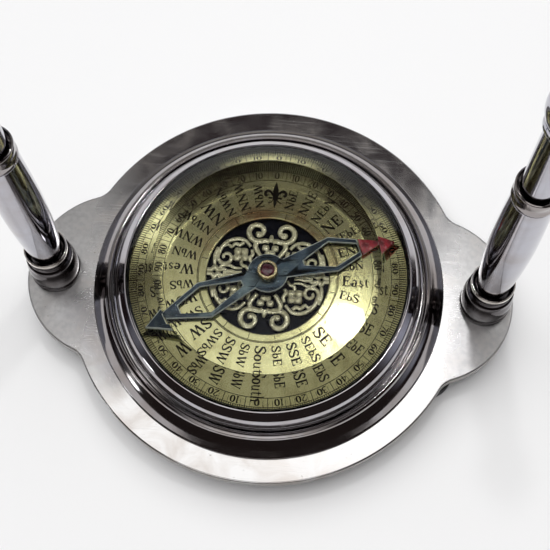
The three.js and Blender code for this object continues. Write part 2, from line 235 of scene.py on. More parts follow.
def dial_face():
    """The dial's brass: bright olive yellow, browned north of the rosette, painted darker on the north rim
    as shade.
    """
    paint = Paint("dial_brass", (0.72, 0.69, 0.36), 0.93, 0.2)
    east, north, _ = paint.split(paint.coordinates())
    radius = paint.math("SQRT", paint.math("ADD", paint.product(east, east), paint.product(north, north)))
    mottle = paint.range(paint.noise(6, detail=8, distortion=0.7), 0.4, 0.7)
    toned = paint.mix(mottle, (0.80, 0.77, 0.42), (0.58, 0.54, 0.27))
    inner = paint.range(radius, 21.5, 16.5)
    northern = paint.range(north, -2, 16)
    cloudy = paint.range(paint.noise(5, detail=4), 0.35, 0.6)
    toned = paint.mix(paint.product(inner, northern, cloudy), toned, (0.50, 0.30, 0.15))
    freckles = paint.range(paint.noise(0.5, detail=2), 0.68, 0.74, 0, 0.5)
    toned = paint.mix(freckles, toned, (0.30, 0.25, 0.12))
    # painted shade: the north rim's colour is darkened to stand in for the dark crescent of shade there
    painted_north_shade = paint.range(paint.math("ADD", radius, paint.product(north, 0.3)), 34, 37.5)
    paint.set("Base Color", paint.mix(painted_north_shade, toned, (0.33, 0.32, 0.17)))
    paint.set("Roughness", paint.range(mottle, 0, 1, 0.12, 0.18))
    paint.bump(paint.noise(1.2, detail=3), 0.12, 0.02)
    return paint.material


def dull(name, color, roughness, grain=0.5, strength=0.4, shine=0.5):
    """Rubber, enamel, ink or the needle's pale painted edge highlight: an even ground with fine grain and
    dust.
    """
    paint = Paint(name, color, 0.0, roughness)
    paint.set("Specular IOR Level", shine)
    dust = paint.range(paint.noise(3, detail=6), 0.5, 0.8, 0, 0.35)
    paint.set("Base Color", paint.mix(dust, color, [min(channel * 2.2 + 0.02, 1) for channel in color]))
    uneven = paint.noise(grain * 4)
    paint.set("Roughness", paint.range(uneven, 0.3, 0.7, roughness - 0.1, roughness + 0.1))
    paint.bump(paint.noise(grain, detail=3), strength, 0.03)
    return paint.material


def steel(name, color, paler, roughness, patch=2.2):
    """Turned or blued steel: hairlines, and paler patches about patch millimetres across: wear on the
    fixings, and on the needle partly wear, partly a painted reflection.
    """
    paint = Paint(name, color, 0.9, roughness)
    # paler patches: wear, and on the needle partly a painted reflection
    lightened = paint.range(paint.noise(patch, detail=6), 0.5, 0.72, 0, 0.8)
    lines = paint.noise(0.25, detail=2, stretch=(0.05, 1, 1), turn=0.4)
    paint.set("Base Color", paint.mix(lightened, color, paler))
    paint.set("Roughness", paint.range(lines, 0.3, 0.7, roughness - 0.06, roughness + 0.1))
    paint.bump(lines, 0.2, 0.02)
    return paint.material


def red_lacquer():
    """The tip's lacquer: blotchy red, rubbed to pink in places, under a clear coat."""
    color = (0.62, 0.014, 0.04)
    paint = Paint("needle_red", color, 0.0, 0.35)
    blotches = paint.range(paint.noise(1.8, detail=4), 0.42, 0.65)
    paler = paint.range(paint.noise(1.1, detail=5), 0.54, 0.72, 0, 0.7)
    mottled = paint.mix(blotches, color, darker(color, 0.35))
    paint.set("Base Color", paint.mix(paler, mottled, (0.70, 0.26, 0.28)))
    paint.set("Coat Weight", 0.6)
    paint.set("Coat Roughness", 0.15)
    paint.bump(paint.noise(0.5, detail=3), 0.5, 0.05)
    return paint.material


def jewel_glass():
    """The cap's dark red stone, slightly cloudy."""
    paint = Paint("jewel_red", (0.16, 0.012, 0.03), 0.0, 0.08)
    cloud = paint.range(paint.noise(0.9, detail=4), 0.4, 0.65)
    paint.set("Base Color", paint.mix(cloud, (0.10, 0.008, 0.02), (0.26, 0.05, 0.10)))
    paint.set("Coat Weight", 1.0)
    paint.set("Coat Roughness", 0.05)
    return paint.material


def crystal_glass():
    """Clear glass with faint smears. It bends light as heavy glass does, so that the bevel shifts the
    dial's rim as in the photo, but mirrors only as much as SHEEN_IOR gives."""
    paint = Paint("crystal_glass", (0.97, 0.99, 0.975), 0.0, 0.0)
    bend = paint.node("ShaderNodeBsdfRefraction")
    bend.inputs["Color"].default_value = (0.98, 0.985, 0.975, 1)
    bend.inputs["IOR"].default_value = GLASS_IOR
    bend.inputs["Roughness"].default_value = 0.0
    sheen = paint.node("ShaderNodeBsdfAnisotropic")
    smears = paint.range(paint.noise(6, detail=5, distortion=1.2), 0.62, 0.8, 0.0, 0.06)
    paint.feed(sheen.inputs["Roughness"], smears)
    share = paint.node("ShaderNodeFresnel")
    share.inputs["IOR"].default_value = SHEEN_IOR
    blend = paint.node("ShaderNodeMixShader")
    sources = (share.outputs["Fac"], bend.outputs["BSDF"], sheen.outputs["BSDF"])
    for socket, source in zip(blend.inputs, sources):
        paint.feed(socket, source)
    paint.feed(paint.tree.nodes["Material Output"].inputs["Surface"], blend.outputs["Shader"])
    paint.tree.nodes.remove(paint.shader)
    return paint.material


plate_nickel = plated("plate_nickel", (0.80, 0.795, 0.80), roughness=0.12, smudge=0.08,
                      scratch_turns=(0.3, 1.2, 2.3), tarnish=0.9, ears=0.17)
# painted shade: a darker copy of the plate nickel for the plate's steep sides
plate_sides_painted_dark = plated("plate_sides_painted_dark", (0.40, 0.39, 0.38), roughness=0.25, smudge=0.15,
                    scratch_turns=(0.3,), tarnish=0.9)
bezel_chrome = plated("bezel_chrome", (0.50, 0.485, 0.51), roughness=0.05, smudge=0.07,
                      scratch_turns=(0.9,), tarnish=0.5)
column_chrome = plated("column_chrome", (0.50, 0.50, 0.55), roughness=0.04, smudge=0.05,
                       scratch_turns=(0.2,), tarnish=0.15)
# painted shade and highlight: a much darker copy of the column chrome stands in for the ferrules' dark
# reflections, with a bright painted band at their rim
ferrule_painted_dark_and_highlight = plated("ferrule_painted_dark_and_highlight", (0.13, 0.12, 0.125), roughness=0.05, smudge=0.06,
                        scratch_turns=(0.2,), tarnish=0.4, rim=(PLATE_TOP + 12.9, PLATE_TOP + 14.3))
# painted shade: a darker copy of the bezel chrome for the outer ring and the columns' middle rings,
# standing in for their dark reflections
ring_chrome_painted_dark = plated("ring_chrome_painted_dark", (0.38, 0.36, 0.365), roughness=0.05, smudge=0.07,
                     scratch_turns=(0.9,), tarnish=0.5)
fixing_steel = steel("fixing_steel", (0.42, 0.43, 0.45), (0.55, 0.55, 0.56), 0.32)
foot_rubber = dull("foot_rubber", (0.012, 0.012, 0.013), 0.75)
gasket_rubber = dull("gasket_rubber", (0.006, 0.006, 0.007), 0.7)
glass = crystal_glass()
dial_brass = dial_face()
floor_brass = brass("floor_brass", (0.5, 0.43, 0.2), (0.3, 0.24, 0.1), 0.45)
fret_brass = brass("fret_brass", (0.94, 0.90, 0.64), (0.62, 0.58, 0.36), 0.24, patch=1.6)
rosette_enamel = dull("rosette_enamel", (0.003, 0.004, 0.014), 0.35, grain=0.3, strength=0.15, shine=0.08)
dial_ink = dull("dial_ink", (0.014, 0.010, 0.006), 0.5, grain=0.3, strength=0.1, shine=0.1)
# partly painted reflection: the large pale teal patches stand in for the light the needle's arms reflect
needle_steel = steel("needle_steel", (0.06, 0.085, 0.115), (0.26, 0.34, 0.35), 0.3, patch=7.0)
# painted highlight: a pale material on the needle's eased edges, standing in for light catching them
needle_painted_edge_highlight = dull("needle_painted_edge_highlight", (0.84, 0.90, 0.85), 0.4, grain=0.4, strength=0.3)
needle_red = red_lacquer()
cap_brass = brass("cap_brass", (0.78, 0.66, 0.40), (0.55, 0.42, 0.2), 0.16, metallic=1.0, patch=2.0)
jewel_red = jewel_glass()


# ---- mesh helpers ----
def finish_piece(name, vertices, faces, normals, material, body, replaced):
    """A mesh piece from millimetre vertices, shaded with the given vertex normals."""
    mesh = bpy.data.meshes.new(name)
    mesh.from_pydata([Vector(v) * MM for v in vertices], [], faces)
    mesh.materials.append(material)
    if normals:
        mesh.polygons.foreach_set("use_smooth", [True] * len(mesh.polygons))
        mesh.normals_split_custom_set_from_vertices(normals)
    piece = bpy.data.objects.new(name, mesh)
    scene.collection.objects.link(piece)
    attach(piece, body)
    if replaced:
        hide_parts(*replaced)
    return piece


def rounded(points, closed, corner=0.15, steps=5):
    """Eases each corner of a profile. A point is (r, z) or (r, z, ease), ease being how far from the
    corner the curve starts. Returns [(r, z, normal r, normal z), ...] with outward normals."""
    count = len(points)
    spots = [Vector(p[:2]) for p in points]
    area = sum(spots[i].x * spots[(i + 1) % count].y - spots[(i + 1) % count].x * spots[i].y
               for i in range(count))
    side = 1 if area > 0 else -1
    made = []

    def put(spot, along):
        normal = Vector((along.y, -along.x)).normalized() * side
        if made and (made[-1][0] - spot).length < SAME_SPOT:
            return
        made.append((spot.copy(), normal))

    for i, point in enumerate(points):
        if not closed and i in (0, count - 1):
            along = spots[1] - spots[0] if i == 0 else spots[-1] - spots[-2]
            put(spots[i], along)
            continue
        before = spots[i] - spots[i - 1]
        after = spots[(i + 1) % count] - spots[i]
        ease = point[2] if len(point) > 2 else corner
        ease = min(ease, before.length / 2, after.length / 2)
        start = spots[i] - before.normalized() * ease
        end = spots[i] + after.normalized() * ease
        for step in range(steps + 1):
            t = step / steps
            spot = start * (1 - t) ** 2 + spots[i] * 2 * t * (1 - t) + end * t ** 2
            along = (spots[i] - start) * (1 - t) + (end - spots[i]) * t
            put(spot, along)
    if closed and (made[0][0] - made[-1][0]).length < SAME_SPOT:
        made.pop()
    return [(spot.x, spot.y, normal.x, normal.y) for spot, normal in made]


def turned(name, profile, material, body="stand", at=(0, 0, 0), closed=False, segments=96,
           corner=0.15, replaced=()):
    """A turned piece about the vertical through at. Its profile is [(radius, height, ease), ...], with
    heights counted from at; an ease of 9 rounds a point as far as its neighbours allow."""
    vertices, normals, rows = [], [], []
    for radius, z, nr, nz in rounded(profile, closed, corner):
        if radius < SAME_SPOT:
            rows.append([len(vertices)])
            vertices.append((at[0], at[1], at[2] + z))
            normals.append((0, 0, math.copysign(1, nz)))
            continue
        rows.append(list(range(len(vertices), len(vertices) + segments)))
        for k in range(segments):
            angle = 2 * math.pi * k / segments
            c, s = math.cos(angle), math.sin(angle)
            vertices.append((at[0] + radius * c, at[1] + radius * s, at[2] + z))
            normals.append((nr * c, nr * s, nz))
    faces = []
    for row, nxt in zip(rows, rows[1:] + (rows[:1] if closed else [])):
        for k in range(segments):
            j = (k + 1) % segments
            if len(row) == 1 and len(nxt) == 1:
                break
            if len(row) == 1:
                faces.append((row[0], nxt[j], nxt[k]))
            elif len(nxt) == 1:
                faces.append((row[k], row[j], nxt[0]))
            else:
                faces.append((row[k], row[j], nxt[j], nxt[k]))
    sample = faces[len(faces) // 2]
    corners = [Vector(vertices[i]) for i in sample[:3]]
    facing = (corners[1] - corners[0]).cross(corners[2] - corners[0])
    if facing.dot(sum((Vector(normals[i]) for i in sample), Vector())) < 0:
        faces = [tuple(reversed(face)) for face in faces]
    finish_piece(name, vertices, faces, normals, material, body, replaced)


def keep(node, material, bevel=0.0, edge=None):
    """Shows a CAD node as it is, with a real material and eased edges; edge, if given, colours those eased
    edges as a pale painted highlight.
    """
    piece = nodes[node]
    piece.data.materials.clear()
    piece.data.materials.append(material)
    if edge:
        piece.data.materials.append(edge)
    if bevel:
        joined = piece.modifiers.new("joined_faces", "WELD")
        joined.merge_threshold = MERGE_DISTANCE * MM
        ease = piece.modifiers.new("eased_edges", "BEVEL")
        ease.width = bevel * MM
        ease.segments = 2
        ease.limit_method = "ANGLE"
        ease.angle_limit = math.radians(32)
        ease.harden_normals = True
        ease.use_clamp_overlap = not edge
        ease.material = 1 if edge else -1
    piece.data.polygons.foreach_set("use_smooth", [True] * len(piece.data.polygons))


# ---- base plate ----
PLATE_RADIUS = high("base_plate").y
LOBE_X = 39.4  # the middle of each ear's rounded end
LOBE_RADIUS = high("base_plate").x - LOBE_X
NECK = 6.0  # the radius of the hollow curve between disc and ear


def plate_outline():
    """[(x, y, outward x, outward y)] round the disc, its two lobes and the hollow necks."""
    reach = PLATE_RADIUS + NECK
    side = LOBE_RADIUS + NECK
    neck_x = (reach**2 - side**2 + LOBE_X**2) / (2 * LOBE_X)
    neck_y = math.sqrt(reach**2 - neck_x**2)
    disc = math.atan2(neck_y, neck_x)
    lobe = math.atan2(neck_y, neck_x - LOBE_X)
    points = []

    def arc(cx, cy, radius, start, end, steps, outward):
        for k in range(steps):
            angle = start + (end - start) * k / steps
            c, s = math.cos(angle), math.sin(angle)
            points.append((cx + radius * c, cy + radius * s, outward * c, outward * s))

    for turn, flip in ((0, 1), (math.pi, -1)):
        arc(flip * LOBE_X, 0, LOBE_RADIUS, turn - lobe, turn + lobe, 72, 1)
        arc(flip * neck_x, flip * neck_y, NECK, turn + math.pi + lobe, turn + math.pi + disc, 16, -1)
        arc(0, 0, PLATE_RADIUS, turn + disc, turn + math.pi - disc, 96, 1)
        arc(-flip * neck_x, flip * neck_y, NECK, turn - disc, turn - lobe, 16, -1)
    return points


def base_plate():
    """The plate with its rounded edge, whose sides get a darker copy of the nickel as painted shade."""
    outline = plate_outline()
    inset = 1.0
    thick = PLATE_TOP - PLATE_UNDER
    edge = rounded([(-inset, 0), (0, 0, 0.5), (0, thick, 0.75), (-inset, thick)], False, steps=6)
    vertices, normals, faces = [], [], []
    count = len(outline)
    for offset, z, no, nz in edge:
        for x, y, ox, oy in outline:
            vertices.append((x + ox * offset, y + oy * offset, PLATE_UNDER + z))
            normals.append((ox * no, oy * no, nz))
    for row in range(len(edge) - 1):
        for k in range(count):
            j = (k + 1) % count
            lower, upper = row * count, (row + 1) * count
            faces.append((lower + k, lower + j, upper + j, upper + k))
    faces.append(tuple(reversed(range(count))))
    faces.append(tuple(range(len(vertices) - count, len(vertices))))
    plate = finish_piece("plate", vertices, faces, normals, plate_nickel, "stand",
                         ["base_plate"])
    # painted shade: the steep sides get the darker copy of the nickel
    plate.data.materials.append(plate_sides_painted_dark)
    steep = 0.6
    for face in plate.data.polygons:
        if abs(face.normal.z) < steep:
            face.material_index = 1


base_plate()

# ---- feet and fixings ----
for number in range(1, 5):
    node = f"foot_{number}"
    middle = (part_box(node)[0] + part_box(node)[1]) / 2 / MM
    spot = (middle.x, middle.y, 0)
    tall = high(node).z
    pad = [(1.6, 2.6), (2.8, 2.6), (2.8, 0, 0.3), (6.4, 0, 0.6), (6.5, tall, 0.5), (1.6, tall)]
    turned(f"{node}_pad", pad, foot_rubber, at=spot, closed=True, segments=64,
           replaced=[node])
    keep(f"foot_screw_{number}", fixing_steel, 0.12)
    keep(f"ring_screw_{number}", fixing_steel, 0.12)
for node in ("pivot_washer", "pivot_nut", "left_washer", "left_nut", "right_washer", "right_nut"):
    keep(node, fixing_steel, 0.12)
for node in ("pivot_post", "left_tie_rod", "right_tie_rod"):
    keep(node, fixing_steel, 0.08)

# ---- bezel ----
outer_ring = [
    (38.7, 0.3), (44.2, 0.3), (44.2, 0.7, 0.1), (43.95, 0.9, 0.1), (42.2, 2.95, 9), (40.65, 4.3, 0.3),
    (40.4, 4.75, 0.15), (39.75, 4.9, 0.12), (39.4, 4.6, 0.1), (39.4, 3), (38.7, 3),
]
on_plate = (0, 0, PLATE_TOP)
# the outer ring gets the darker copy of the chrome, as painted shade
turned("outer_ring", outer_ring, ring_chrome_painted_dark, at=on_plate, closed=True,
       segments=192, replaced=["bezel_outer_ring"])
bead = [(38.75, 3.3), (39.1, 3.3), (39.1, 4.1, 0.1), (38.92, 4.35, 0.1), (38.75, 4.1, 0.1)]
turned("groove_wire", bead, bezel_chrome, at=on_plate, closed=True, segments=192,
       corner=0.05, replaced=["groove_bead"])
crown_ring = [
    (BOWL_RADIUS, 0.3), (38.4, 0.3), (38.4, 5.4, 0.1), (38.1, 5.6, 0.1), (37.95, 6.0, 0.3),
    (37.2, 7.7, 0.8), (35.4, 9.25, 0.1), (35.3, 9.3, 0.05), (35.0, 9.3, 0.1), (35.0, 7),
    (BOWL_RADIUS, 7),
]
turned("crown_ring", crown_ring, bezel_chrome, at=on_plate, closed=True,
       segments=192, replaced=["bezel_crown_ring"])
keep("glass_gasket", gasket_rubber)
crystal = [(0, 8.3), (34.7, 8.3, 0.1), (34.7, 9.5, 0.15), (27.7, 15.1, 0.12), (0, 15.1)]
turned("crystal_lens", crystal, glass, at=on_plate, segments=256, corner=0.1,
       replaced=["crystal"])

# ---- bowl and dial ----
keep("bowl_floor", floor_brass)
keep("rosette_backing", rosette_enamel)
dial_profile = [(17.3, 2.8), (DIAL_RADIUS, 2.8), (DIAL_RADIUS, 4, 0.1), (17.3, 4, 0.1)]
turned("dial", dial_profile, dial_brass, at=on_plate, closed=True, segments=192,
       replaced=["dial_plate"])


class Flat:
    """Flat printed shapes gathered into one mesh, in millimetres on the dial."""

    def __init__(self):
        self.vertices = []
        self.faces = []

    def ribbon(self, points, widths, placed=lambda x, y: (x, y)):
        """A stroke along points; widths is one number, or one for each point. placed moves its edge
        points onto the dial."""
        count = len(points)
        if not isinstance(widths, (list, tuple)):
            widths = [widths] * count
        first = len(self.vertices)
        for i, (x, y) in enumerate(points):
            ax, ay = points[max(i - 1, 0)]
            bx, by = points[min(i + 1, count - 1)]
            length = math.hypot(bx - ax, by - ay) or 1
            nx = -(by - ay) / length * widths[i] / 2
            ny = (bx - ax) / length * widths[i] / 2
            self.vertices.append(placed(x + nx, y + ny))
            self.vertices.append(placed(x - nx, y - ny))
        for i in range(count - 1):
            k = first + 2 * i
            self.faces.append((k, k + 1, k + 3, k + 2))

    def ring(self, radius, width):
        steps = 240
        angles = [2 * math.pi * k / steps for k in range(steps + 1)]
        self.ribbon([(radius * math.cos(angle), radius * math.sin(angle)) for angle in angles], width)

    def tick(self, bearing, start, end, width):
        angle = math.radians(90 - bearing)
        c, s = math.cos(angle), math.sin(angle)
        self.ribbon([(start * c, start * s), (end * c, end * s)], width)


def curve_through(points, steps=6):
    """A smooth line through the points."""
    out = []
    last = len(points) - 1
    for i in range(last):
        near = (points[max(i - 1, 0)], points[i], points[i + 1], points[min(i + 2, last)])
        for k in range(steps):
            t = k / steps
            out.append(tuple(
                0.5 * (2 * b + (c - a) * t + (2 * a - 5 * b + 4 * c - d) * t * t
                       + (3 * b - a - 3 * c + d) * t * t * t)
                for a, b, c, d in zip(*near)))
    out.append(tuple(points[-1]))
    return out


THICK, THIN = 0.2, 0.09  # stroke widths of the lettering, as parts of its capitals' height


def bowl(cx, cy, rx, ry, start, end):
    """A letter's round stroke, thick at its sides, as (points, widths)."""
    steps = 12
    points, widths = [], []
    for k in range(steps + 1):
        angle = math.radians(start + (end - start) * k / steps)
        points.append((cx + rx * math.cos(angle), cy + ry * math.sin(angle)))
        swell = abs(math.cos(angle))
        widths.append(THIN + (THICK - THIN) * swell)
    return points, widths


def line(x0, y0, x1, y1, width):
    return [(x0, y0), (x1, y1)], width


def swept(points, middle=THICK):
    """A letter's curved stroke, thick in the middle, as (points, widths)."""
    path = curve_through(points, 4)
    last = len(path) - 1
    return path, [THIN + (middle - THIN) * math.sin(math.pi * k / last) ** 1.5 for k in range(last + 1)]


# Each glyph is (advance, strokes), drawn on a baseline with capitals 1 high. write() widens the finest.
GLYPHS = {
    "N": (0.98, [line(.14, 0, .14, 1, THIN), line(.1, .98, .78, .02, THICK),
                 line(.78, 0, .78, 1, THIN), line(.02, .02, .27, .02, .05),
                 line(.0, .98, .2, .98, .05), line(.64, .98, .92, .98, .05)]),
    "E": (0.80, [line(.2, 0, .2, 1, THICK), line(.05, .97, .68, .97, .06),
                 line(.05, .03, .72, .03, .06), line(.2, .52, .5, .52, .06),
                 line(.66, 1, .66, .76, .05), line(.7, 0, .7, .27, .05), line(.5, .4, .5, .64, .05)]),
    "S": (0.74, [swept([(.58, .74), (.52, .92), (.34, .98), (.14, .88), (.12, .7), (.34, .53),
                        (.56, .37), (.6, .18), (.42, .02), (.2, .04), (.07, .26)]),
                 line(.59, .7, .59, .98, .05), line(.06, .3, .06, 0, .05)]),
    "W": (1.22, [line(.1, 1, .38, .02, THICK), line(.38, .02, .6, .9, THIN),
                 line(.58, .96, .84, .02, THICK), line(.84, .02, 1.1, 1, THIN),
                 line(.0, .98, .26, .98, .05), line(.96, .98, 1.2, .98, .05),
                 line(.46, .98, .7, .98, .05)]),
    "b": (0.62, [line(.14, 0, .14, 1.02, .13), bowl(.3, .3, .2, .28, -180, 180),
                 line(.02, 1, .14, 1, .05)]),
    "a": (0.60, [bowl(.25, .19, .17, .17, 0, 360), line(.42, .5, .42, .08, .12),
                 swept([(.1, .5), (.24, .62), (.42, .48)], .09), line(.42, .06, .54, .04, .06)]),
    "s": (0.48, [swept([(.38, .5), (.24, .61), (.1, .48), (.24, .33), (.38, .2), (.24, .02),
                        (.07, .14)], .13)]),
    "t": (0.44, [line(.18, .1, .18, .82, .12), line(.03, .6, .38, .6, .06),
                 swept([(.18, .12), (.26, .02), (.4, .1)], .08)]),
    "o": (0.60, [bowl(.28, .3, .22, .29, 0, 360)]),
    "e": (0.56, [bowl(.27, .3, .2, .28, 10, 320), line(.08, .33, .47, .35, .06)]),
    "u": (0.66, [line(.14, .6, .14, .16, .12), swept([(.14, .18), (.22, .03), (.38, .05), (.48, .16)], .08),
                 line(.48, .6, .48, .03, .12), line(.04, .59, .18, .59, .05),
                 line(.48, .03, .6, .03, .05)]),
    "h": (0.68, [line(.14, 0, .14, 1.02, .12), swept([(.14, .46), (.3, .61), (.46, .5), (.48, .3)], .1),
                 line(.48, .36, .48, 0, .12), line(.04, .02, .25, .02, .05),
                 line(.38, .02, .6, .02, .05), line(.02, 1, .14, 1, .05)]),
    "0": (0.66, [bowl(.3, .5, .22, .47, 0, 360)]),
    "1": (0.46, [line(.24, 0, .24, 1, .14), line(.1, .86, .24, .98, .07), line(.1, .02, .4, .02, .05)]),
    "2": (0.64, [swept([(.08, .72), (.16, .94), (.38, .97), (.5, .76), (.36, .44), (.08, .05)], .13),
                 line(.06, .06, .56, .06, .12)]),
    "3": (0.62, [swept([(.1, .84), (.3, .98), (.48, .8), (.4, .58), (.22, .53)], .13),
                 swept([(.22, .53), (.46, .48), (.52, .24), (.32, .02), (.06, .1)], .15)]),
    "4": (0.66, [line(.42, 0, .42, 1, .14), line(.42, .98, .05, .3, .07), line(.04, .3, .6, .3, .08)]),
    "5": (0.62, [line(.14, .96, .5, .96, .11), line(.14, .98, .12, .54, .07),
                 swept([(.1, .54), (.34, .62), (.52, .4), (.44, .1), (.2, .01), (.06, .12)], .14)]),
    "6": (0.64, [bowl(.3, .29, .2, .27, 0, 360),
                 swept([(.48, .92), (.26, .84), (.12, .56), (.11, .26)], .12)]),
    "7": (0.60, [line(.06, .95, .56, .95, .11), line(.54, .94, .22, 0, .11)]),
    "8": (0.64, [bowl(.3, .74, .17, .22, 0, 360), bowl(.3, .27, .21, .26, 0, 360)]),
    "9": (0.64, [bowl(.3, .69, .2, .27, 0, 360),
                 swept([(.49, .72), (.48, .42), (.34, .14), (.12, .05)], .12)]),
}


def write(flat, text, height, origin, direction, centred=False, spread=1.0):
    """Writes text on the dial from origin along direction (radians), with capitals as tall as height."""
    total = sum(GLYPHS[letter][0] for letter in text) * height * spread
    c, s = math.cos(direction), math.sin(direction)
    pen = -total / 2 if centred else 0.0

    def placed(x, y):
        return origin[0] + x * c - y * s, origin[1] + x * s + y * c

    for letter in text:
        advance, strokes = GLYPHS[letter]
        for points, widths in strokes:
            scaled = [(pen + x * height * spread, y * height) for x, y in points]
            if isinstance(widths, list):
                widths = [max(width, THIN) * height for width in widths]
            else:
                widths = max(widths, THIN) * height
            flat.ribbon(scaled, widths, placed)
        pen += advance * height * spread


POINTS = ["", "NbE", "NNE", "NEbN", "NE", "NEbE", "ENE", "EbN", "East", "EbS", "ESE", "SEbE", "SE",
          "SEbS", "SSE", "SbE", "South", "SbW", "SSW", "SWbS", "SW", "SWbW", "WSW", "WbS", "West",
          "WbN", "WNW", "NWbW", "NW", "NWbN", "NNW", "NbW"]  # clockwise from north, which has the lily
POINT_HEIGHTS = {0: 2.6, 2: 2.3, 4: 2.8, 6: 2.3}  # by place within a quarter; 2.1 for the rest
POINTS_START = 18.4  # the radius where the points' lettering begins
NUMBERS_RADIUS = 26.4  # the numbers' baseline
SCALE_START, SCALE_END = 28.75, 31.3  # the degree scale


def printed_dial():
    """The dial's printed rings, points, numbers and degree scale."""
    flat = Flat()
    for radius, width in ((17.55, 0.16), (26.05, 0.16), (28.7, 0.14), (31.3, 0.2), (32.4, 0.3)):
        flat.ring(radius, width)
    for number, text in enumerate(POINTS):
        angle = math.radians(90 - number * 360 / len(POINTS))
        height = POINT_HEIGHTS.get(number % 8, 2.1)
        base = (POINTS_START * math.cos(angle) + height / 2 * math.sin(angle),
                POINTS_START * math.sin(angle) - height / 2 * math.cos(angle))
        write(flat, text, height, base, angle, spread=1.12)
    for bearing in range(0, 360, 10):
        value = abs((bearing + 90) % 180 - 90)
        angle = math.radians(90 - bearing)
        base = (NUMBERS_RADIUS * math.cos(angle), NUMBERS_RADIUS * math.sin(angle))
        write(flat, str(value), 1.95, base, angle - math.pi / 2, centred=True)
        flat.tick(bearing + 5, 26.2, 28.6, 0.13)
        flat.tick(bearing + 2.9, 26.9, 28.6, 0.08)
        flat.tick(bearing + 7.1, 26.9, 28.6, 0.08)
    for degree in range(360):
        end, width = (SCALE_END, 0.22) if degree % 5 == 0 else (SCALE_END - 0.4, 0.17)
        flat.tick(degree, SCALE_START, end, width)
    lily(flat)
    print_on_dial("dial_print", flat)


def print_on_dial(name, flat):
    vertices = [(x, y, DIAL_TOP + INK_GAP) for x, y in flat.vertices]
    finish_piece(name, vertices, flat.faces, None, dial_ink, "stand", ())


def lily(flat):
    """The fleur-de-lis that marks north."""
    flat.ribbon([(0, 25.7), (0, 24.4), (0, 22.9), (0, 21.6), (0, 21.0)], [0.05, 0.9, 1.5, 0.9, 0.5])
    flat.ribbon([(-1.7, 21.0), (1.7, 21.0)], 0.5)
    flat.ribbon([(0, 21.0), (0, 19.9), (0, 18.2)], [0.5, 0.9, 0.08])
    for side in (-1, 1):
        petal = [(0.3, 21.1), (0.9, 22.3), (1.9, 23.0), (2.6, 22.4), (2.4, 21.6), (1.9, 21.9)]
        path = curve_through([(side * x, y) for x, y in petal])
        last = len(path) - 1
        flat.ribbon(path, [0.3 + 0.45 * math.sin(math.pi * k / last) for k in range(last + 1)])
        tail = curve_through([(side * 0.3, 20.9), (side * 1.0, 19.9), (side * 1.7, 19.6)])
        flat.ribbon(tail, 0.3)


printed_dial()


# ---- rosette: raised scrollwork over a dark ground ----
def spiral(cx, cy, start_radius, end_radius, start, end):
    """A curl about (cx, cy) between two angles in degrees."""
    steps = 28
    points = []
    for k in range(steps + 1):
        t = k / steps
        angle = math.radians(start + (end - start) * t)
        radius = start_radius + (end_radius - start_radius) * t
        points.append((cx + radius * math.cos(angle), cy + radius * math.sin(angle)))
    return points


